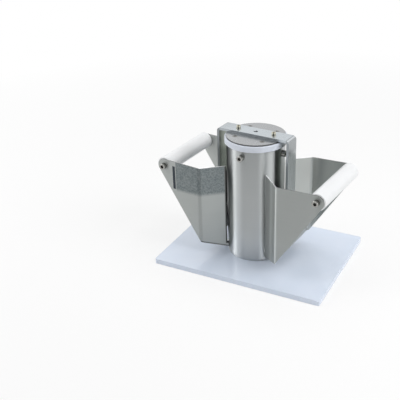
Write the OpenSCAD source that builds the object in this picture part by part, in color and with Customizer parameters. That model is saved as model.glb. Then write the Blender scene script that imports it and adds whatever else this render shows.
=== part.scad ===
// Pineapple corer: a push-down cutter tube with four radial blades, two grips and its board.
// Lengths are in millimetres. Z is up, X runs from grip to grip, and the tube's axis is the Z axis.
// Heights of the tool are measured from the top of the board, where the cutting edge stands.

/* [Board] */
// Length of the board
board_l = 275; // [200:1:400]
// Depth of the board
board_d = 202; // [150:1:320]
// Thickness of the board
board_t = 8; // [4:0.5:25]
// Radius of the board's corners
board_r = 3; // [1:0.5:25]
// Turn of the board under the tool, in degrees
board_turn = 4.8; // [-10:0.2:10]
// Distance from the tube's axis to the middle of the board
board_shift = 7; // [-20:1:20]

/* [Cutter tube] */
// Outside diameter of the tube
tube_od = 89.1; // [75:0.1:110]
// Wall of the tube
tube_wall = 1.5; // [1:0.1:3]
// Height of the tube
tube_h = 186; // [150:1:240]
// Height of the ground bevel at the cutting edge
edge_h = 4; // [2:0.5:8]
// Width of the land left at a cutting edge
edge_land = 0.3; // [0.1:0.05:0.6]

/* [Core tube] */
// Outside diameter of the core tube
core_od = 30; // [20:0.5:38]
// Wall of the core tube
core_wall = 1.2; // [0.8:0.1:2]
// Height of the core tube's edge above the board
core_lift = 1; // [0:0.5:10]
// Thickness of the flange on the core tube
flange_t = 6; // [4:0.5:10]
// Gap round the flange inside the tube
flange_gap = 3; // [1:0.5:6]
// Distance of the plate screws from the flange's edge
flange_edge = 7.5; // [5:0.5:10]

/* [Cap] */
// Overhang of the cap's rim round the tube
rim_over = 3; // [2:0.5:8]
// Thickness of the cap's rim
rim_t = 9.3; // [6:0.1:15]
// Length of the cap's spigot inside the tube
spigot_h = 22; // [18:1:40]
// Clearance of the spigot in the tube, per side
spigot_gap = 0.1; // [0.05:0.05:0.3]
// Chamfer on the cap's edges
cap_chamfer = 0.8; // [0.3:0.1:2]
// Thickness of the plate on the cap
plate_t = 2; // [1:0.5:4]
// Distance from the rim's edge to the plate's edge
plate_inset = 2.5; // [0.5:0.5:4]
// Diameter of the vent on the axis
vent_d = 6.6; // [4:0.2:10]

/* [Yoke] */
// Width of the flat bar
bar_w = 25; // [16:1:40]
// Thickness of the flat bar
bar_t = 4; // [3:0.5:6]
// Width over the yoke's two legs
yoke_w = 122; // [116:1:126]
// Inside radius of the yoke's bends
bar_bend = 2; // [1:0.5:8]
// Thickness of plastic between a yoke screw's hole and the tip of a tube screw
tip_wall = 2.3; // [1.5:0.1:5]

/* [Wings] */
// Angle of the blades from the line through the grips, in degrees
blade_angle = 42.5; // [40:0.5:50]
// Thickness of the wing sheets
sheet_t = 1.5; // [1:0.1:3]
// Width over the front and rear sheets
wing_d = 122; // [110:1:150]
// Height of the sheets' upper edge at the blade
wing_top = 149.5; // [130:0.5:165]
// Rise of the upper edge from the bend to the grip
top_rise = 2.5; // [0:0.5:8]
// Height of the sheets' lower corner at the bend
wing_foot = 21; // [14:1:26]
// Height of the blade's lower end at the tube
blade_foot = 8; // [2:1:12]
// Middle radius of the bend in the sheets
sheet_bend = 8; // [4:0.5:14]
// Radius of the sheets' outer corner
corner_r = 11; // [9:0.5:16]
// Width of the slit between blade and tube
slit_w = 2.6; // [1.5:0.1:4]
// Height of the tab that joins the blade to the tube
tab_h = 11; // [6:1:20]
// Height of the ground bevel on the blades
bevel_h = 4; // [2:0.5:8]

/* [Grips] */
// Diameter of the grips
grip_d = 26; // [20:0.5:34]
// Distance from the tube's axis to each grip
grip_x = 129.5; // [110:0.5:150]
// Chamfer on the ends of the grips
grip_chamfer = 1; // [0.5:0.5:3]

/* [Webs] */
// Thickness of the web plates
web_t = 2; // [1.5:0.5:4]
// Height of the webs' lower edge
web_foot = 20; // [20:1:40]
// Depth of the webs from edge to edge
web_h = 55; // [40:1:70]
// Distance of the web screws from the webs' edges
web_inset = 12; // [10:0.5:15]

/* [Screws] */
// Thread diameter of the grip and tube screws
m6_d = 6; // [5:0.5:8]
// Length of the grip screws under the head
grip_screw_l = 20; // [14:1:30]
// Length of the tube screws under the head
tube_screw_l = 10; // [8:0.5:11]
// Thread diameter of the web screws
m5_d = 5; // [4:0.5:6]
// Thread diameter of the plate screws
m4_d = 4; // [3:0.5:5]
// Thread diameter of the yoke screws
yoke_screw_d = 4; // [3:0.5:6]
// Height of the tube screws below the top of the tube
tube_screw_drop = 11; // [8:0.5:14]
// Clearance round a screw in a plain hole, per side
hole_gap = 0.25; // [0.15:0.05:0.5]
// Clearance round a screw in its thread, per side
thread_gap = 0.05; // [0.03:0.01:0.1]

/* [Hidden] */
$fn = 96;
// Overlap of shapes that are joined in one piece
lap = 0.02;
// Overlength of a cut past the face it opens
cut = 1;
// Height of the board's top
deck = board_t;

tube_r = tube_od / 2;
tube_ri = tube_r - tube_wall;
tube_top = deck + tube_h;
rim_r = tube_r + rim_over;
plate_z = tube_top + rim_t;
bar_z = plate_z + plate_t;
spigot_r = tube_ri - spigot_gap;
spigot_z = tube_top - spigot_h;
flange_z = spigot_z - flange_t;
flange_r = tube_ri - flange_gap;
plate_screw_r = flange_r - flange_edge;
tube_screw_z = tube_top - tube_screw_drop;
yoke_screw_x = tube_r - tube_screw_l - tip_wall - yoke_screw_d / 2 - hole_gap;

yoke_x = yoke_w / 2;
leg_foot = deck + web_foot;

wing_y = wing_d / 2;
sheet_y = wing_y - sheet_t / 2;
crease_x = sheet_y / tan(blade_angle);
crease_r = sheet_y / sin(blade_angle);
bend_run = sheet_bend * tan(blade_angle / 2);
grip_z = wing_top + top_rise - corner_r;
slit_r = tube_r + slit_w;
grip_l = 2 * (wing_y - sheet_t);
blade_run = crease_r - tube_r;
blade_rise = wing_foot - blade_foot;

web_z = [web_foot + web_inset, web_foot + web_h - web_inset];

// Proportions of the screws and nuts, as shares of the thread's diameter
head_share = 0.833;
head_round_share = 1 / 12;
socket_share = 0.48;
socket_floor_share = 0.45;
flush_share = 0.5;
flush_socket_share = 0.36;
flush_depth_share = 0.3;
button_share = 0.95;
button_top_share = 0.6;
button_rise_share = 0.5;
button_socket_share = 0.35;
button_floor_share = 0.2;
nut_share = 0.92;
nut_rise_share = 0.8;
// Diameter of a weld bead, as a share of the slit's width
bead_share = 1.3;

STEEL = [0.80, 0.81, 0.82];
SATIN = [0.66, 0.67, 0.66];
SCREW = [0.58, 0.58, 0.56];
WHITE = [0.94, 0.95, 0.96];
BOARD = [0.88, 0.91, 0.96];

// A socket-head screw: its seat is at z = 0, its head above and its shank below.
module socket_screw(d, l) {
    round = d * head_round_share;
    difference() {
        union() {
            cylinder(r = d * head_share, h = d - round);
            translate([0, 0, d - round])
                cylinder(r1 = d * head_share, r2 = d * head_share - round, h = round);
            translate([0, 0, -l])
                cylinder(d = d, h = l + lap);
        }
        translate([0, 0, d * socket_floor_share])
            cylinder(r = d * socket_share, h = d, $fn = 6);
    }
}

// A countersunk screw: its flat top is at z = 0.
module flush_screw(d, l) {
    difference() {
        union() {
            translate([0, 0, -d * flush_share])
                cylinder(r1 = d / 2, r2 = d, h = d * flush_share);
            translate([0, 0, -l])
                cylinder(d = d, h = l - d * flush_share + lap);
        }
        translate([0, 0, -d * flush_depth_share])
            cylinder(r = d * flush_socket_share, h = d, $fn = 6);
    }
}

// The hole that takes a countersunk screw of the same sizes, with its cone.
module flush_hole(d, l) {
    translate([0, 0, -d * flush_share])
        cylinder(r1 = d / 2, r2 = d, h = d * flush_share);
    cylinder(r = d, h = cut);
    translate([0, 0, -l])
        cylinder(r = d / 2 + hole_gap, h = l);
}

// A hole of radius r through what lies from z up to z + h, cut past both faces.
module drill(r, z, h) {
    translate([0, 0, z - cut])
        cylinder(r = r, h = h + 2 * cut);
}

// Repeats a piece on the four wings, which mirror each other.
module four_wings() {
    for (x = [0, 1])
        for (y = [0, 1])
            mirror([x, 0, 0])
                mirror([0, y, 0])
                    children();
}

// Puts a piece at each of the plate screws.
module at_plate_screws() {
    for (a = [45:90:315])
        rotate(a)
            translate([plate_screw_r, 0, 0])
                children();
}

// Puts a piece at each of the two yoke screws.
module at_yoke_screws() {
    for (s = [-1, 1])
        translate([s * yoke_screw_x, 0, 0])
            children();
}

// Puts a piece on the tube at each of its four screws, with the screw's axis pointing outwards.
module at_tube_screws() {
    for (a = [0:90:270])
        rotate(a)
            translate([tube_r, 0, tube_screw_z])
                rotate([0, 90, 0])
                    children();
}

// Puts a piece at each web screw of one side, pointing inwards to the tube.
module at_web_screws(side) {
    for (z = web_z)
        translate([side * (yoke_x - bar_t), 0, deck + z])
            rotate([0, -side * 90, 0])
                children();
}

module board() {
    color(BOARD)
        translate([board_shift * cos(board_turn), board_shift * sin(board_turn), 0])
            rotate(board_turn)
                linear_extrude(board_t)
                    union() {
                        square([board_l - 2 * board_r, board_d], center = true);
                        square([board_l, board_d - 2 * board_r], center = true);
                        for (x = [-1, 1])
                            for (y = [-1, 1])
                                translate([x * (board_l / 2 - board_r), y * (board_d / 2 - board_r)])
                                    circle(r = board_r);
                    }
}

module cutter_tube() {
    color(STEEL)
        difference() {
            translate([0, 0, deck])
                rotate_extrude()
                    polygon([[tube_ri, 0], [tube_ri + edge_land, 0], [tube_r, edge_h],
                             [tube_r, tube_h], [tube_ri, tube_h]]);
            at_tube_screws()
                translate([0, 0, -2 * tube_wall])
                    cylinder(r = m6_d / 2 + hole_gap, h = 4 * tube_wall);
        }
}

module core_tube() {
    core_r = core_od / 2;
    core_ri = core_r - core_wall;
    core_h = spigot_z - deck - core_lift;
    color(STEEL)
        translate([0, 0, deck + core_lift])
            rotate_extrude()
                polygon([[core_ri, 0], [core_ri + edge_land, 0], [core_r, edge_h],
                         [core_r, core_h], [core_ri, core_h]]);
}

module core_flange() {
    color(STEEL)
        difference() {
            translate([0, 0, flange_z])
                cylinder(r = flange_r, h = flange_t);
            drill(core_od / 2, flange_z, flange_t);
            at_plate_screws()
                drill(m4_d / 2 + thread_gap, flange_z, flange_t);
            at_yoke_screws()
                drill(yoke_screw_d / 2 + thread_gap, flange_z, flange_t);
        }
}

module cap() {
    color(WHITE)
        difference() {
            rotate_extrude()
                polygon([[vent_d / 2, spigot_z], [spigot_r - cap_chamfer, spigot_z],
                         [spigot_r, spigot_z + cap_chamfer], [spigot_r, tube_top],
                         [rim_r - cap_chamfer, tube_top], [rim_r, tube_top + cap_chamfer],
                         [rim_r, plate_z - cap_chamfer], [rim_r - cap_chamfer, plate_z],
                         [vent_d / 2, plate_z]]);
            at_plate_screws()
                translate([0, 0, bar_z])
                    flush_hole(m4_d, bar_z - flange_z);
            at_yoke_screws()
                drill(yoke_screw_d / 2 + hole_gap, spigot_z, spigot_h + rim_t);
            at_tube_screws()
                translate([0, 0, -tube_screw_l - thread_gap])
                    cylinder(r = m6_d / 2 + thread_gap, h = tube_screw_l);
        }
}

module cap_plate() {
    color(STEEL)
        difference() {
            translate([0, 0, plate_z])
                cylinder(r = rim_r - plate_inset, h = plate_t);
            drill(vent_d / 2, plate_z, plate_t);
            at_plate_screws()
                translate([0, 0, bar_z])
                    flush_hole(m4_d, plate_t + cut);
            at_yoke_screws()
                drill(yoke_screw_d / 2 + hole_gap, plate_z, plate_t);
        }
}

module plate_screws() {
    color(SCREW)
        at_plate_screws()
            translate([0, 0, bar_z])
                flush_screw(m4_d, bar_z - flange_z);
}

module tube_screws() {
    color(SCREW)
        at_tube_screws()
            socket_screw(m6_d, tube_screw_l);
}

// One quarter of a ring, for the bends of the yoke.
module bar_corner() {
    intersection() {
        difference() {
            circle(r = bar_bend + bar_t);
            circle(r = bar_bend);
        }
        square(bar_bend + bar_t + cut);
    }
}

module yoke() {
    outer = bar_bend + bar_t;
    color(SATIN)
        difference() {
            rotate([90, 0, 0])
                linear_extrude(bar_w, center = true)
                    union() {
                        translate([-yoke_x + outer, bar_z])
                            square([yoke_w - 2 * outer, bar_t]);
                        for (s = [0, 1])
                            mirror([s, 0]) {
                                translate([yoke_x - outer, bar_z + bar_t - outer])
                                    bar_corner();
                                translate([yoke_x - bar_t, leg_foot])
                                    square([bar_t, bar_z + bar_t - outer - leg_foot]);
                            }
                    }
            drill(vent_d / 2, bar_z, bar_t);
            at_yoke_screws()
                drill(yoke_screw_d / 2 + hole_gap, bar_z, bar_t);
            for (side = [-1, 1])
                at_web_screws(side)
                    drill(m5_d / 2 + hole_gap, -bar_t, bar_t);
        }
}

module yoke_screws() {
    color(SCREW)
        at_yoke_screws()
            translate([0, 0, bar_z + bar_t])
                socket_screw(yoke_screw_d, bar_z + bar_t - flange_z);
}

// Plan of one bent sheet, right and to the front: blade, bend and outer plate.
module sheet_plan(r_from) {
    reach = grip_x + corner_r + cut;
    rotate(-blade_angle)
        translate([r_from, -sheet_t / 2])
            square([crease_r - bend_run - r_from + lap, sheet_t]);
    translate([crease_x + bend_run, -sheet_y + sheet_bend])
        intersection() {
            difference() {
                circle(r = sheet_bend + sheet_t / 2);
                circle(r = sheet_bend - sheet_t / 2);
            }
            polygon([[0, 0], [0, -2 * sheet_bend],
                     [-4 * sheet_bend * sin(blade_angle / 2), -4 * sheet_bend * cos(blade_angle / 2)],
                     [-2 * sheet_bend * sin(blade_angle), -2 * sheet_bend * cos(blade_angle)]]);
        }
    translate([crease_x + bend_run - lap, -wing_y])
        square([reach - crease_x - bend_run + lap, sheet_t]);
}

// The point where a line from the bend at height z touches the round outer corner, below or above.
function corner_touch(z, below) =
    let (run = grip_x - crease_x,
         rise = grip_z - z,
         reach = sqrt(run * run + rise * rise),
         turn = atan2(rise, run) + (below ? -1 : 1) * asin(corner_r / reach),
         edge = sqrt(reach * reach - corner_r * corner_r))
    [crease_x + edge * cos(turn), z + edge * sin(turn)];

// Side view of a wing: upper edge, round outer corner, long sloping edge and blade foot.
module wing_side() {
    tip_x = tube_r * cos(blade_angle);
    in_x = (tube_r - 2 * sheet_t) * cos(blade_angle);
    in_z = blade_foot - blade_rise * (tip_x - in_x) / (crease_x - tip_x);
    union() {
        polygon([[in_x, in_z], [crease_x, wing_foot], corner_touch(wing_foot, true),
                 [grip_x, grip_z], corner_touch(wing_top, false),
                 [crease_x, wing_top], [in_x, wing_top]]);
        translate([grip_x, grip_z])
            circle(r = corner_r);
    }
}

// The wedge ground off the channel side of a blade's lower edge.
module blade_bevel() {
    lean = atan2(blade_rise, blade_run);
    run = blade_run / cos(lean);
    over = 3 * sheet_t;
    rotate(-blade_angle)
        translate([tube_r, 0, blade_foot])
            rotate([0, -lean, 0])
                translate([-over, 0, 0])
                    rotate([90, 0, 90])
                        linear_extrude(run + over - bend_run)
                            polygon([[-sheet_t / 2 + edge_land, -over], [-sheet_t / 2 + edge_land, 0],
                                     [sheet_t / 2, bevel_h], [sheet_t / 2 + over, bevel_h],
                                     [sheet_t / 2 + over, -over]]);
}

// One bent wing sheet, right and to the front, with its blade and tab, on the board's level.
module wing_sheet() {
    difference() {
        intersection() {
            union() {
                linear_extrude(grip_z + corner_r)
                    sheet_plan(slit_r);
                linear_extrude(blade_foot + tab_h)
                    sheet_plan(tube_r - sheet_t);
            }
            rotate([90, 0, 0])
                linear_extrude(2 * wing_d, center = true)
                    wing_side();
        }
        cylinder(r = tube_r, h = wing_top + cut);
        blade_bevel();
        translate([grip_x, -wing_y, grip_z])
            rotate([-90, 0, 0])
                drill(m6_d / 2 + hole_gap, 0, sheet_t);
    }
}

module wing_front_right() {
    color(SATIN)
        translate([0, 0, deck])
            wing_sheet();
}

module wing_rear_right() {
    color(SATIN)
        translate([0, 0, deck])
            mirror([0, 1, 0])
                wing_sheet();
}

module wing_front_left() {
    color(SATIN)
        translate([0, 0, deck])
            mirror([1, 0, 0])
                wing_sheet();
}

module wing_rear_left() {
    color(SATIN)
        translate([0, 0, deck])
            mirror([1, 0, 0])
                mirror([0, 1, 0])
                    wing_sheet();
}

// A flat plate fitted between the two sheets of one wing, against the outside of the yoke's leg.
module web(side) {
    inner_y = wing_y - sheet_t;
    skin = sheet_t / 2 / cos(blade_angle);
    difference() {
        translate([0, 0, deck + web_foot])
            linear_extrude(web_h)
                mirror([side < 0 ? 1 : 0, 0])
                    difference() {
                        intersection() {
                            translate([yoke_x, -wing_y])
                                square([web_t, wing_d]);
                            polygon([[skin / tan(blade_angle), 0],
                                     [(inner_y + skin) / tan(blade_angle), inner_y],
                                     [grip_x, inner_y], [grip_x, -inner_y],
                                     [(inner_y + skin) / tan(blade_angle), -inner_y]]);
                        }
                        for (y = [0, 1])
                            mirror([0, y])
                                sheet_plan(slit_r);
                    }
        at_web_screws(side)
            drill(m5_d / 2 + hole_gap, -bar_t - web_t, web_t);
    }
}

module web_left() {
    color(SATIN)
        web(-1);
}

module web_right() {
    color(SATIN)
        web(1);
}

// A low round-head screw with a socket, through the yoke's leg and the web, with room for its nut.
module web_screw() {
    l = bar_t + web_t + m5_d;
    difference() {
        union() {
            cylinder(r1 = m5_d * button_share, r2 = m5_d * button_top_share, h = m5_d * button_rise_share);
            translate([0, 0, -l])
                cylinder(d = m5_d, h = l + lap);
        }
        translate([0, 0, m5_d * button_floor_share])
            cylinder(r = m5_d * button_socket_share, h = m5_d, $fn = 6);
    }
}

module web_screws() {
    color(SCREW)
        for (side = [-1, 1])
            at_web_screws(side)
                web_screw();
}

module web_nuts() {
    color(SCREW)
        for (side = [-1, 1])
            at_web_screws(side)
                translate([0, 0, -bar_t - web_t - m5_d * nut_rise_share])
                    difference() {
                        cylinder(r = m5_d * nut_share, h = m5_d * nut_rise_share, $fn = 6);
                        drill(m5_d / 2 + thread_gap, 0, m5_d * nut_rise_share);
                    }
}

// A bead of weld at the foot of each slit, on the tab between blade and tube.
module tab_welds() {
    bead_z = blade_foot + tab_h;
    color(SATIN)
        four_wings()
            difference() {
                rotate(-blade_angle)
                    translate([tube_r + slit_w / 2, 0, deck + bead_z])
                        sphere(d = slit_w * bead_share, $fn = 32);
                translate([0, 0, deck])
                    cylinder(r = tube_r, h = tube_h);
                translate([0, 0, deck])
                    wing_sheet();
            }
}

module grip(side) {
    difference() {
        translate([side * grip_x, -grip_l / 2, deck + grip_z])
            rotate([-90, 0, 0])
                rotate_extrude()
                    polygon([[0, 0], [grip_d / 2 - grip_chamfer, 0], [grip_d / 2, grip_chamfer],
                             [grip_d / 2, grip_l - grip_chamfer],
                             [grip_d / 2 - grip_chamfer, grip_l], [0, grip_l]]);
        for (y = [0, 1])
            mirror([0, y, 0])
                translate([side * grip_x, -grip_l / 2, deck + grip_z])
                    rotate([-90, 0, 0])
                        drill(m6_d / 2 + thread_gap, 0, grip_screw_l);
    }
}

module grip_left() {
    color(WHITE)
        grip(-1);
}

module grip_right() {
    color(WHITE)
        grip(1);
}

module grip_screws() {
    color(SCREW)
        four_wings()
            translate([grip_x, -wing_y, deck + grip_z])
                rotate([90, 0, 0])
                    socket_screw(m6_d, grip_screw_l);
}

board();
cutter_tube();
core_tube();
core_flange();
cap();
cap_plate();
plate_screws();
tube_screws();
yoke();
yoke_screws();
wing_front_left();
wing_rear_left();
wing_front_right();
wing_rear_right();
web_left();
web_right();
web_screws();
web_nuts();
tab_welds();
grip_left();
grip_right();
grip_screws();
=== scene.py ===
"""Finishes, floor, light and camera for the pineapple corer and its board.

Lengths are in metres. Z is up, X runs from grip to grip, and the tube's axis is the Z axis. Left, right
and front are as the camera sees them. Colours are shares of red, green and blue.
"""
import math

import bpy
from mathutils import Matrix, Vector


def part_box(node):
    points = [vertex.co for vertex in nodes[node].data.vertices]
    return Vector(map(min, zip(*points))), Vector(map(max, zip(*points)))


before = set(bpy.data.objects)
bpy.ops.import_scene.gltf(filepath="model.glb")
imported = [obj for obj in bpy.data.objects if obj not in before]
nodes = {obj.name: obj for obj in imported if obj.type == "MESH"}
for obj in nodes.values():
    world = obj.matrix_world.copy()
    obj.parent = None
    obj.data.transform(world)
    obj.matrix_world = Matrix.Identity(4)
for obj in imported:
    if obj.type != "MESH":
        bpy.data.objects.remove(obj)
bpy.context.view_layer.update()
scene = bpy.context.scene
scene.view_settings.view_transform = "Standard"

# Height of the board's top, on which the tool stands
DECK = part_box("board")[1].z
# Distance of the bend in the wings from the middle, and the height of their upper edge
BEND_X = 0.066
WING_TOP = DECK + 0.1495


# Short calls for the shader nodes that the finishes share

# Range in which most values of a noise lie, and how strong its finer grains are
NOISE_RANGE = (0.3, 0.7)
NOISE_ROUGH = 0.55


def add(tree, kind, **settings):
    """A new shader node with its properties set."""
    made = tree.nodes.new(kind)
    for name, value in settings.items():
        setattr(made, name, value)
    return made


def feed(tree, socket, value):
    """Links an output to a socket, or sets a plain value on it."""
    if isinstance(value, bpy.types.NodeSocket):
        tree.links.new(value, socket)
    else:
        socket.default_value = value


def place(tree):
    """Position on the piece."""
    return add(tree, "ShaderNodeTexCoord").outputs["Object"]


def split(tree, vector):
    """The X, Y and Z of a vector."""
    parts = add(tree, "ShaderNodeSeparateXYZ")
    feed(tree, parts.inputs["Vector"], vector)
    return parts.outputs


def facing(tree):
    """The X, Y and Z of the direction that the surface faces."""
    return split(tree, add(tree, "ShaderNodeNewGeometry").outputs["True Normal"])


def from_axis(tree, at):
    """Distance from the tube's axis."""
    flat = add(tree, "ShaderNodeCombineXYZ")
    feed(tree, flat.inputs["X"], at["X"])
    feed(tree, flat.inputs["Y"], at["Y"])
    length = add(tree, "ShaderNodeVectorMath", operation="LENGTH")
    feed(tree, length.inputs[0], flat.outputs["Vector"])
    return length.outputs["Value"]


def noise(tree, stretch, detail):
    """Noise over the piece: stretch is the number of grains in a metre along X, Y and Z."""
    mapping = add(tree, "ShaderNodeMapping")
    feed(tree, mapping.inputs["Vector"], place(tree))
    mapping.inputs["Scale"].default_value = stretch
    texture = add(tree, "ShaderNodeTexNoise")
    feed(tree, texture.inputs["Vector"], mapping.outputs["Vector"])
    texture.inputs["Scale"].default_value = 1.0
    texture.inputs["Detail"].default_value = detail
    texture.inputs["Roughness"].default_value = NOISE_ROUGH
    return texture.outputs["Fac"]


def spread(tree, value, low, high, start, end):
    """A value between start and end, spread from low to high."""
    ranged = add(tree, "ShaderNodeMapRange")
    feed(tree, ranged.inputs["Value"], value)
    ranged.inputs["From Min"].default_value = start
    ranged.inputs["From Max"].default_value = end
    ranged.inputs["To Min"].default_value = low
    ranged.inputs["To Max"].default_value = high
    return ranged.outputs["Result"]


def rise(tree, value, start, end):
    """0 up to start, 1 from end on, and a ramp between them."""
    return spread(tree, value, 0.0, 1.0, start, end)


def fall(tree, value, start, end):
    """1 up to start, 0 from end on, and a ramp between them."""
    return spread(tree, value, 1.0, 0.0, start, end)


def reckon(tree, operation, first, second=0.0):
    """One step of arithmetic."""
    step = add(tree, "ShaderNodeMath", operation=operation)
    feed(tree, step.inputs[0], first)
    feed(tree, step.inputs[1], second)
    return step.outputs[0]


def times(tree, first, *others):
    """The product of some values."""
    product = first
    for other in others:
        product = reckon(tree, "MULTIPLY", product, other)
    return product


def below(tree, value, limit):
    """1 where a value is less than its limit, otherwise 0."""
    return reckon(tree, "LESS_THAN", value, limit)


def above(tree, value, limit):
    """1 where a value is more than its limit, otherwise 0."""
    return reckon(tree, "GREATER_THAN", value, limit)


def inside(tree, parts, limits):
    """1 where each named part lies between its two limits, otherwise 0."""
    share = 1.0
    for name, (low, high) in limits.items():
        share = times(tree, above(tree, parts[name], low), below(tree, parts[name], high), share)
    return share


def blend(tree, share, first, second):
    """A colour between two colours."""
    mix = add(tree, "ShaderNodeMix", data_type="RGBA")
    feed(tree, mix.inputs["Factor"], share)
    for name, colour in (("A", first), ("B", second)):
        socket = [s for s in mix.inputs if s.name == name and s.type == "RGBA"][0]
        feed(tree, socket, colour if isinstance(colour, bpy.types.NodeSocket) else (*colour, 1.0))
    return [s for s in mix.outputs if s.type == "RGBA"][0]


def relief(tree, height, strength, depth, edge):
    """Bump from a height, on normals rounded off along the edges by the given radius."""
    rounded = add(tree, "ShaderNodeBevel", samples=4)
    rounded.inputs["Radius"].default_value = edge
    bump = add(tree, "ShaderNodeBump")
    bump.inputs["Strength"].default_value = strength
    bump.inputs["Distance"].default_value = depth
    feed(tree, bump.inputs["Height"], height)
    feed(tree, bump.inputs["Normal"], rounded.outputs["Normal"])
    return bump.outputs["Normal"]


def finish(name, metallic):
    """A new material, with its node tree and its shader."""
    material = bpy.data.materials.new(name)
    material.use_nodes = True
    shader = material.node_tree.nodes["Principled BSDF"]
    shader.inputs["Metallic"].default_value = metallic
    return material, material.node_tree, shader


def tint(tree, shader, colour, share, most=1.0):
    """Lays a colour over the shader's own: share says where, from 0 to 1, and most how much it covers."""
    clean = shader.inputs["Base Color"].links[0].from_socket
    feed(tree, shader.inputs["Base Color"], blend(tree, times(tree, share, most), clean, colour))


# Steel and plastic

# Share by which brushed steel spreads its gloss more across the brushing than along it
BRUSHED = 0.95
# Turn of that spread, in full turns
QUARTER_TURN = 0.25
# Soft clouds in the tone of the plastics, in a metre
PLASTIC_CLOUDS = 20.0
# Strength of the bump that the brushing and the skin give
STEEL_RELIEF = 0.25
PLASTIC_RELIEF = 0.3


def steel(name, dark, light, gloss, grain, cloud=14.0, edge=0.0003, depth=0.00001, along=None,
          metallic=1.0):
    """Stainless steel, brushed along the axes with few grains, with soft clouds in its tone.

    along is the axis that the brushing goes round, for a gloss that spreads across the brushing.
    """
    material, tree, shader = finish(name, metallic)
    if along:
        shader.inputs["Anisotropic"].default_value = BRUSHED
        shader.inputs["Anisotropic Rotation"].default_value = QUARTER_TURN
        tangent = add(tree, "ShaderNodeTangent", direction_type="RADIAL", axis=along)
        feed(tree, shader.inputs["Tangent"], tangent.outputs["Tangent"])
    lines = noise(tree, grain, detail=4.0)
    clouds = noise(tree, (cloud, cloud, cloud), detail=2.0)
    tone = times(tree, reckon(tree, "ADD", lines, clouds), 0.5)
    shade = spread(tree, tone, 0.0, 1.0, *NOISE_RANGE)
    feed(tree, shader.inputs["Base Color"], blend(tree, shade, dark, light))
    feed(tree, shader.inputs["Roughness"], spread(tree, lines, *gloss, *NOISE_RANGE))
    feed(tree, shader.inputs["Normal"], relief(tree, lines, STEEL_RELIEF, depth, edge))
    return material, tree, shader


def plastic(name, dark, light, gloss, grain, depth, edge):
    """White plastic: a fine skin that stirs its gloss, and hardly any change in its tone."""
    material, tree, shader = finish(name, metallic=0.0)
    skin = noise(tree, grain, detail=3.0)
    clouds = noise(tree, (PLASTIC_CLOUDS, PLASTIC_CLOUDS, PLASTIC_CLOUDS), detail=3.0)
    shade = spread(tree, clouds, 0.0, 1.0, *NOISE_RANGE)
    feed(tree, shader.inputs["Base Color"], blend(tree, shade, dark, light))
    feed(tree, shader.inputs["Roughness"], spread(tree, skin, *gloss, *NOISE_RANGE))
    feed(tree, shader.inputs["Normal"], relief(tree, skin, PLASTIC_RELIEF, depth, edge))
    return material


# Limits on the direction of a face: it looks up, to the front or along Y, or it stands steep
LOOKS_UP = 0.3
LOOKS_FRONT = -0.3
LOOKS_ALONG_Y = 0.7
STEEP = 0.5


# Wing sheets and webs

# Painted light on the inside faces, and how much of that colour the left and the right sheets have
PAINTED_INSIDE_LIGHT = (0.52, 0.54, 0.52)
INSIDE_LEFT = 0.45
INSIDE_RIGHT = 0.80
MIDDLE = (-0.01, 0.01)
# Painted reflection: a light band beside the right bend, inside
BEND_REFLECTION = (0.90, 0.92, 0.88)
BEND_REFLECTION_RISE = (BEND_X - 0.001, BEND_X + 0.001)
BEND_REFLECTION_FALL = (BEND_X + 0.009, BEND_X + 0.016)
# Painted reflection: a light line along the right blades, outside, and what is left of it towards the bend
BLADE_REFLECTION = (0.80, 0.84, 0.82)
BLADE_REFLECTION_RISE = (0.0465, 0.0505)
BLADE_REFLECTION_FALL = (0.0535, 0.0570)
BLADE_REFLECTION_REST = 0.25
# Painted shade on the upper edges of the outer plates, and a painted highlight on those of the blades
RIM_SHADE = (0.20, 0.21, 0.21)
RIM_HIGHLIGHT = (0.86, 0.87, 0.88)


def sheet_steel(name):
    """The bent sheets: satin outside, with painted light inside, painted reflections beside the right bend
    and along the right blades, and painted shade on the upper edges that turns to a painted highlight on
    the blades.
    """
    material, tree, shader = steel(name, dark=(0.385, 0.405, 0.395), light=(0.44, 0.46, 0.45),
                                   gloss=(0.34, 0.40), grain=(30.0, 30.0, 3200.0), along="Z",
                                   metallic=0.82)
    at = split(tree, place(tree))
    faces = facing(tree)
    inner = below(tree, times(tree, at["Y"], faces["Y"]), 0.0)
    outer = reckon(tree, "SUBTRACT", 1.0, inner)
    blade = below(tree, reckon(tree, "ABSOLUTE", at["X"]), BEND_X)
    rim = above(tree, faces["Z"], LOOKS_UP)
    # Painted light: the inside faces are paler, more so on the right
    inside_light = spread(tree, at["X"], INSIDE_LEFT, INSIDE_RIGHT, *MIDDLE)
    tint(tree, shader, PAINTED_INSIDE_LIGHT, times(tree, inner, inside_light))
    # Painted reflection: a light band beside the right bend, inside
    bend_reflection = times(tree, rise(tree, at["X"], *BEND_REFLECTION_RISE), fall(tree, at["X"], *BEND_REFLECTION_FALL))
    tint(tree, shader, BEND_REFLECTION, times(tree, inner, bend_reflection), most=0.55)
    # Painted reflection of the tube's highlight: a light line on the right blades' outer face
    reflection_line = times(tree, rise(tree, at["X"], *BLADE_REFLECTION_RISE), spread(tree, at["X"], 1.0, BLADE_REFLECTION_REST, *BLADE_REFLECTION_FALL))
    tint(tree, shader, BLADE_REFLECTION, times(tree, reflection_line, blade, outer), most=0.30)
    # Painted shade on all upper edges, then a painted highlight on those of the blades
    tint(tree, shader, RIM_SHADE, rim)
    tint(tree, shader, RIM_HIGHLIGHT, times(tree, rim, blade))
    return material, tree, shader


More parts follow.
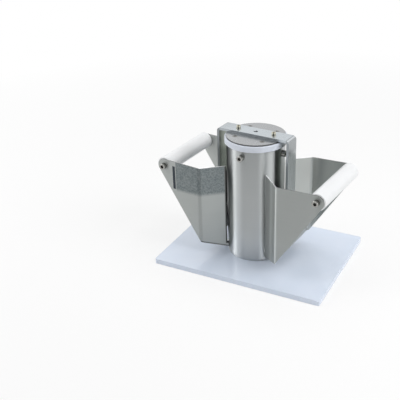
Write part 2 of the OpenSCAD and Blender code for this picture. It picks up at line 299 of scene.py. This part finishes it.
# Frosted field of the left front sheet, with a soft foot, and the plain bar beside it
FROST = (0.12, 0.15, 0.16)
FROST_GRAIN = (420.0, 420.0, 420.0)
FROST_RANGE = (0.36, 0.64)
FROST_COVER = (0.55, 0.90)
FIELD_X = (-0.1080, -0.0360)
FIELD_RISE = (DECK + 0.101, DECK + 0.107)
MARK = (0.05, 0.06, 0.07)
MARK_BOX = {"X": (-0.1140, -0.1092), "Z": (DECK + 0.105, DECK + 0.1435)}
# Painted shade of the slit, as a dark line on its blade along the slit: distances from the axis, and
# heights, in which it fades
SLIT_SHADE = (0.02, 0.02, 0.02)
SLIT_SHADE_FALL = (0.0483, 0.0502)
SLIT_SHADE_RISE = (DECK + 0.012, DECK + 0.015)
# Painted shade as a dark line along the blade's ground lower edge, which rises outwards from a foot on the
# axis
GROUND_EDGE_SHADE = (0.05, 0.05, 0.05)
EDGE_FOOT = DECK - 0.0049
EDGE_SLOPE = 0.394
EDGE_FALL = (EDGE_FOOT + 0.0012, EDGE_FOOT + 0.0028)


def etched_sheet():
    """The sheet with a bare frosted field etched along its upper edge, on the front side only, and painted
    shade along its slit and its ground lower edge.
    """
    material, tree, shader = sheet_steel("etched_sheet")
    at = split(tree, place(tree))
    front = below(tree, facing(tree)["Y"], LOOKS_FRONT)
    field = times(tree, inside(tree, at, {"X": FIELD_X}), rise(tree, at["Z"], *FIELD_RISE))
    grain = spread(tree, noise(tree, FROST_GRAIN, detail=4.0), *FROST_COVER, *FROST_RANGE)
    tint(tree, shader, FROST, times(tree, field, front, grain))
    tint(tree, shader, MARK, times(tree, inside(tree, at, MARK_BOX), front))
    # Painted shade: a dark line along the slit on the blade's front
    slit_shade = times(tree, fall(tree, from_axis(tree, at), *SLIT_SHADE_FALL), rise(tree, at["Z"], *SLIT_SHADE_RISE))
    tint(tree, shader, SLIT_SHADE, times(tree, slit_shade, front), most=0.95)
    # Painted shade: a dark line along the blade's ground lower edge
    out = reckon(tree, "ABSOLUTE", at["X"])
    level = reckon(tree, "SUBTRACT", at["Z"], times(tree, out, EDGE_SLOPE))
    ground = times(tree, below(tree, out, BEND_X), fall(tree, level, *EDGE_FALL))
    tint(tree, shader, GROUND_EDGE_SHADE, times(tree, ground, front), most=0.75)
    return material


# Tubes

POLISH = {"dark": (0.49, 0.51, 0.51), "light": (0.54, 0.56, 0.56), "gloss": (0.34, 0.38),
          "grain": (25.0, 25.0, 2600.0), "edge": 0.0002, "depth": 0.000004, "along": "Z"}
# Painted reflection: heights in which the cutter tube gets darker upwards, and paler downwards
TUBE_TOP_SHADE = (0.10, 0.11, 0.11)
TUBE_DARKENS = (DECK + 0.03, DECK + 0.17)
TUBE_FOOT_REFLECTION = (0.80, 0.82, 0.84)
TUBE_PALES = (DECK, DECK + 0.06)
# Shade beside the left leg: slopes off the X axis in which it fades, and heights in which it begins
TUBE_SHADE = (0.04, 0.04, 0.04)
SHADE_FALL = (0.90, 2.6)
SHADE_RISE = (WING_TOP - 0.035, WING_TOP + 0.003)
# Mirror colour of the tube where it is seen edge-on: plain, and a painted shade that dims it above a height
# on the left, for the gap beside the leg and the blade
EDGE_ON = (1.0, 1.0, 1.0)
GAP_SHADE_EDGE_ON = (0.22, 0.22, 0.22)
GAP_RISE = (DECK + 0.070, DECK + 0.100)


def tube_steel():
    """The polished cutter tube, with painted reflection and shade: darker towards the top and beside the
    left leg, paler at its foot, and mirroring darker edge-on at its upper left.
    """
    material, tree, shader = steel("polished_tube", **POLISH)
    at = split(tree, place(tree))
    # Painted reflection: darker towards the top, paler at the foot
    tint(tree, shader, TUBE_TOP_SHADE, rise(tree, at["Z"], *TUBE_DARKENS), most=0.16)
    tint(tree, shader, TUBE_FOOT_REFLECTION, fall(tree, at["Z"], *TUBE_PALES), most=0.32)
    left = below(tree, at["X"], 0.0)
    slope = reckon(tree, "DIVIDE", reckon(tree, "ABSOLUTE", at["Y"]), reckon(tree, "ABSOLUTE", at["X"]))
    shade = times(tree, fall(tree, slope, *SHADE_FALL), rise(tree, at["Z"], *SHADE_RISE))
    tint(tree, shader, TUBE_SHADE, times(tree, shade, left), most=0.75)
    # Painted shade: the upper left of the tube mirrors darker where seen edge-on
    gap_shade = times(tree, left, rise(tree, at["Z"], *GAP_RISE))
    feed(tree, shader.inputs["Specular Tint"], blend(tree, gap_shade, EDGE_ON, GAP_SHADE_EDGE_ON))
    return material


# Yoke

# Legs: where they begin, and how far out their broad faces are at least
LEG_X = 0.0565
LEG_FACE = 0.04
# Painted light on the legs' outside, and painted shade on their edges and inside
LEG_OUTSIDE_LIGHT = (0.64, 0.67, 0.68)
LEG_EDGE_SHADE = (0.16, 0.17, 0.18)
LEG_INSIDE_SHADE = (0.29, 0.32, 0.28)
# Heights in which painted shade makes the outside darker upwards, and the inside black downwards
LEG_TOP_SHADE = (0.37, 0.39, 0.40)
LEG_DARKENS = (DECK + 0.173, DECK + 0.182)
LEG_FOOT_SHADE = (0.02, 0.02, 0.02)
LEG_BLACKENS = (WING_TOP - 0.030, WING_TOP - 0.022)
# Painted shade on the left end of the bar
BAR_LEFT_SHADE = (0.22, 0.23, 0.23)
BAR_FALL = (-0.058, -0.020)
# Painted reflection: a dark and a light line on the round of the bends, by how far out and how far up their
# faces look
ROUND_DARK_REFLECTION = (0.22, 0.23, 0.24)
ROUND_BEGIN = {"side": (0.006, 0.024), "up": (0.25, 1.0)}
ROUND_HIGHLIGHT = (0.70, 0.72, 0.74)
ROUND_END = {"side": (0.026, 0.046), "up": (0.25, 1.0)}
# Painted light on the wall of the hole on the axis
HOLE_WALL_LIGHT = (0.90, 0.92, 0.94)
HOLE_R = 0.0037


def bar_steel():
    """The flat bar of the yoke, with painted light and shade: its legs are paler outside, darker at the top
    outside, dark on their edges, dark inside and black low down inside; the left end is darker, the bends
    carry a dark and a light line and the hole's wall is lighter.
    """
    material, tree, shader = steel("satin_bar", dark=(0.47, 0.51, 0.54), light=(0.53, 0.57, 0.60),
                                   gloss=(0.26, 0.32), grain=(40.0, 3200.0, 40.0), edge=0.0006,
                                   depth=0.000002)
    at = split(tree, place(tree))
    faces = facing(tree)
    looks = {"side": times(tree, at["X"], faces["X"]), "up": faces["Z"]}
    inwards = below(tree, looks["side"], -LEG_FACE)
    outwards = above(tree, looks["side"], LEG_FACE)
    # Painted light on the legs' outside, with painted shade darkening its top
    tint(tree, shader, LEG_OUTSIDE_LIGHT, outwards)
    tint(tree, shader, LEG_TOP_SHADE, times(tree, outwards, rise(tree, at["Z"], *LEG_DARKENS)))
    leg = above(tree, reckon(tree, "ABSOLUTE", at["X"]), LEG_X)
    edge = above(tree, reckon(tree, "ABSOLUTE", faces["Y"]), LOOKS_ALONG_Y)
    # Painted shade on the legs' front and back edges
    tint(tree, shader, LEG_EDGE_SHADE, times(tree, leg, edge), most=0.6)
    # Painted shade: the left end of the bar is darker
    tint(tree, shader, BAR_LEFT_SHADE, fall(tree, at["X"], *BAR_FALL), most=0.35)
    # Painted shade inside the legs, black low down
    tint(tree, shader, LEG_INSIDE_SHADE, inwards)
    tint(tree, shader, LEG_FOOT_SHADE, times(tree, inwards, fall(tree, at["Z"], *LEG_BLACKENS)))
    # Painted reflection and highlight on the round of the bends
    tint(tree, shader, ROUND_DARK_REFLECTION, inside(tree, looks, ROUND_BEGIN), most=0.5)
    tint(tree, shader, ROUND_HIGHLIGHT, inside(tree, looks, ROUND_END), most=0.5)
    # Painted light on the wall of the hole on the axis
    wall = times(tree, below(tree, from_axis(tree, at), HOLE_R), below(tree, looks["up"], STEEP))
    tint(tree, shader, HOLE_WALL_LIGHT, wall)
    return material


# Plate, screws and welds

# Painted shade on the plate's cut edge
CUT_EDGE_SHADE = (0.10, 0.10, 0.10)
# Painted shade in the screws' sockets and under their heads
SOCKET_SHADE = (0.03, 0.03, 0.03)
# How near a neighbour has to be for the painted shade to gather between
SOCKET_SHADE_REACH = 0.004


def plate_steel():
    """The plate on the cap, with painted shade on its cut edge."""
    material, tree, shader = steel("satin_plate", dark=(0.36, 0.37, 0.38), light=(0.41, 0.42, 0.43),
                                   gloss=(0.22, 0.28), grain=(3200.0, 40.0, 40.0), depth=0.000002)
    # Painted shade on the steep faces of the plate's cut edge
    tint(tree, shader, CUT_EDGE_SHADE, below(tree, facing(tree)["Z"], STEEP))
    return material


def screw_steel(name, dark, light, clean=(0.25, 0.85)):
    """Steel of the screws, with painted shade in the sockets and where a head meets what it clamps.

    clean is the stretch of openness, from 0 in a hollow to 1 in the open, over which the painted shade
    fades.
    """
    material, tree, shader = steel(name, dark, light, gloss=(0.14, 0.26), grain=(900.0, 900.0, 900.0),
                                   cloud=300.0)
    # Painted shade: darker where ambient occlusion finds a hollow
    hollow = add(tree, "ShaderNodeAmbientOcclusion", samples=8)
    hollow.inputs["Distance"].default_value = SOCKET_SHADE_REACH
    tint(tree, shader, SOCKET_SHADE, fall(tree, hollow.outputs["AO"], *clean))
    return material


# The finish of each node

TUBE = tube_steel()
POLISHED = steel("polished_steel", **POLISH)[0]
SHEET = sheet_steel("satin_sheet")[0]
BAR = bar_steel()
PLATE = plate_steel()
BEAD = steel("weld_bead", dark=(0.72, 0.72, 0.72), light=(0.92, 0.92, 0.92), gloss=(0.20, 0.30),
             grain=(400.0, 400.0, 1500.0), cloud=500.0, depth=0.0001)[0]
CAP = plastic("cap_plastic", dark=(0.72, 0.77, 0.86), light=(0.77, 0.81, 0.89), gloss=(0.28, 0.42),
              grain=(40.0, 40.0, 2200.0), depth=0.00002, edge=0.0004)
GRIP = plastic("grip_plastic", dark=(0.82, 0.83, 0.84), light=(0.86, 0.87, 0.88), gloss=(0.26, 0.40),
               grain=(700.0, 700.0, 700.0), depth=0.00002, edge=0.0004)
BOARD = plastic("board_plastic", dark=(0.72, 0.80, 0.93), light=(0.76, 0.83, 0.95), gloss=(0.16, 0.24),
                grain=(1500.0, 1500.0, 1500.0), depth=0.000008, edge=0.0006)
SCREW = screw_steel("screw_steel", dark=(0.30, 0.30, 0.28), light=(0.42, 0.42, 0.40))
# Plate screws: darker steel and painted shade over more of each head, for a dark dot
SHADED_PLATE_SCREW = screw_steel("plate_screw_steel", dark=(0.20, 0.20, 0.19), light=(0.28, 0.28, 0.27),
                          clean=(0.60, 0.98))
WARM_SCREW = screw_steel("warm_screw_steel", dark=(0.46, 0.43, 0.34), light=(0.60, 0.57, 0.47))

FINISHES = {
    "board": BOARD,
    "cutter_tube": TUBE, "core_tube": POLISHED, "core_flange": POLISHED, "tube_screws": SCREW,
    "cap": CAP, "cap_plate": PLATE, "plate_screws": SHADED_PLATE_SCREW,
    "yoke": BAR, "yoke_screws": WARM_SCREW,
    "wing_front_left": etched_sheet(), "wing_rear_left": SHEET,
    "wing_front_right": SHEET, "wing_rear_right": SHEET, "tab_welds": BEAD,
    "web_left": SHEET, "web_right": SHEET, "web_screws": SCREW, "web_nuts": SCREW,
    "grip_left": GRIP, "grip_right": GRIP, "grip_screws": SCREW,
}
for name, material in FINISHES.items():
    mesh = nodes[name].data
    if not mesh.materials:
        mesh.materials.append(material)
    for index in range(len(mesh.materials)):
        mesh.materials[index] = material


# Setting

PAPER_ROUGH = 0.9


def stand(name, points, faces):
    """A sheet of the setting, put into the scene."""
    mesh = bpy.data.meshes.new(name)
    mesh.from_pydata(points, [], faces)
    sheet = bpy.data.objects.new(name, mesh)
    scene.collection.objects.link(sheet)
    return sheet


def paper(name, grey):
    """Matt paper of an even grey: its material, node tree and shader."""
    material, tree, shader = finish(name, metallic=0.0)
    shader.inputs["Base Color"].default_value = (grey, grey, grey, 1.0)
    shader.inputs["Roughness"].default_value = PAPER_ROUGH
    return material, tree, shader


def seen_ray(tree):
    """1 for what the camera sees, straight or in metal or glass, and 0 for light on the object."""
    path = add(tree, "ShaderNodeLightPath")
    seen = reckon(tree, "MAXIMUM", path.outputs["Is Camera Ray"], path.outputs["Is Glossy Ray"])
    return reckon(tree, "MAXIMUM", seen, path.outputs["Is Transmission Ray"])


# Floor

FLOOR_HALF = 5.0
FLOOR_GREY = 0.93
# Gap between the floor and the board, so that their faces stay apart
FLOOR_GAP = 0.0003
# Share of plain white where the floor is seen near the object, and distances in which it gets full
FLOOR_WHITE = 0.7
FLOOR_RISE = (0.35, 1.2)

floor = stand("floor", [(-FLOOR_HALF, -FLOOR_HALF, 0.0), (FLOOR_HALF, -FLOOR_HALF, 0.0),
                        (FLOOR_HALF, FLOOR_HALF, 0.0), (-FLOOR_HALF, FLOOR_HALF, 0.0)], [(0, 1, 2, 3)])
floor.location.z = -FLOOR_GAP
floor_paper, floor_tree, floor_shader = paper("floor_paper", FLOOR_GREY)
floor.data.materials.append(floor_paper)
# Where the floor is seen, also in metal, it is part white of its own and keeps a faint shadow
white = add(floor_tree, "ShaderNodeEmission")
white.inputs["Strength"].default_value = 1.0
distance = from_axis(floor_tree, split(floor_tree, place(floor_tree)))
share = spread(floor_tree, distance, FLOOR_WHITE, 1.0, *FLOOR_RISE)
floor_mix = add(floor_tree, "ShaderNodeMixShader")
feed(floor_tree, floor_mix.inputs["Fac"], times(floor_tree, seen_ray(floor_tree), share))
feed(floor_tree, floor_mix.inputs[1], floor_shader.outputs["BSDF"])
feed(floor_tree, floor_mix.inputs[2], white.outputs["Emission"])
feed(floor_tree, floor_tree.nodes["Material Output"].inputs["Surface"], floor_mix.outputs["Shader"])


# Dark card behind the camera, so that the metal has an unlit side to mirror

CARD_FROM = math.radians(-30.0)
CARD_TO = math.radians(75.0)
CARD_R = 1.7
CARD_H = 1.3
CARD_STEPS = 14
CARD_GREY = 0.12

card_points = []
for step in range(CARD_STEPS + 1):
    angle = CARD_FROM + (CARD_TO - CARD_FROM) * step / CARD_STEPS
    for height in (0.0, CARD_H):
        card_points.append((CARD_R * math.sin(angle), -CARD_R * math.cos(angle), height))
card = stand("card", card_points, [(2 * n, 2 * n + 2, 2 * n + 3, 2 * n + 1) for n in range(CARD_STEPS)])
card.visible_camera = False
card.data.materials.append(paper("card_paper", CARD_GREY)[0])


# Light

# Strength of the sky as light on the object
SKY_LIGHT = 0.30
# Point on the tube's axis that the lamps face
LAMP_AIM = Vector((0.0, 0.0, 0.1))

world = bpy.data.worlds.new("studio")
world.use_nodes = True
scene.world = world
sky_tree = world.node_tree
sky = sky_tree.nodes["Background"]
sky.inputs["Color"].default_value = (1.0, 1.0, 1.0, 1.0)
# The background is plain white where it is seen, also in metal, and lights the object less
feed(sky_tree, sky.inputs["Strength"], spread(sky_tree, seen_ray(sky_tree), SKY_LIGHT, 1.0, 0.0, 1.0))


def softbox(name, at, width, height, power):
    """A soft rectangular lamp that faces the object, with its power in watts."""
    light = bpy.data.lights.new(name, "AREA")
    light.shape = "RECTANGLE"
    light.size = width
    light.size_y = height
    light.energy = power
    lamp = bpy.data.objects.new(name, light)
    lamp.visible_camera = False
    lamp.location = at
    lamp.rotation_mode = "QUATERNION"
    lamp.rotation_quaternion = (LAMP_AIM - Vector(at)).to_track_quat("-Z", "Y")
    scene.collection.objects.link(lamp)


softbox("top_light", at=(-0.05, 0.25, 1.6), width=1.4, height=1.4, power=8.4)
softbox("right_light", at=(1.0, 0.1, 1.0), width=0.8, height=0.8, power=8.7)
softbox("low_light", at=(1.2, -0.9, 0.35), width=0.5, height=0.5, power=1.9)
softbox("left_light", at=(-1.3, -0.72, 0.55), width=0.5, height=0.9, power=6.3)
softbox("high_light", at=(-1.0, -0.3, 1.1), width=0.8, height=0.8, power=2.0)
softbox("rear_light", at=(-0.9, 0.7, 1.0), width=0.8, height=0.8, power=1.2)


# Camera: straight at a point on the tube's axis from the azimuth and elevation, then turned aside

AZIMUTH = math.radians(28.96)
ELEVATION = math.radians(26.71)
DISTANCE = 1.1265
TARGET = Vector((0.0, 0.0, DECK + 0.100))
PAN = math.radians(-4.44)
TILT = math.radians(-0.66)
# Width of the sensor in millimetres, and the focal length in pixels of a picture of the given width
SENSOR = 36.0
FOCAL_PIXELS = 719.4
PICTURE_PIXELS = 400.0
CLIP_START = 0.01

back = Vector((math.sin(AZIMUTH) * math.cos(ELEVATION), -math.cos(AZIMUTH) * math.cos(ELEVATION),
               math.sin(ELEVATION)))
right = Vector((math.cos(AZIMUTH), math.sin(AZIMUTH), 0.0))
up = back.cross(right)
ahead = -back * math.cos(PAN) + right * math.sin(PAN)
across = right * math.cos(PAN) + back * math.sin(PAN)
aim = ahead * math.cos(TILT) + up * math.sin(TILT)
top = up * math.cos(TILT) - ahead * math.sin(TILT)

camera_data = bpy.data.cameras.new("camera")
camera_data.sensor_width = SENSOR
camera_data.sensor_fit = "HORIZONTAL"
camera_data.lens = FOCAL_PIXELS / PICTURE_PIXELS * SENSOR
camera_data.clip_start = CLIP_START
camera = bpy.data.objects.new("camera", camera_data)
turn = Matrix((across, top, -aim)).transposed()
camera.matrix_world = Matrix.Translation(TARGET + back * DISTANCE) @ turn.to_4x4()
scene.collection.objects.link(camera)
scene.camera = camera
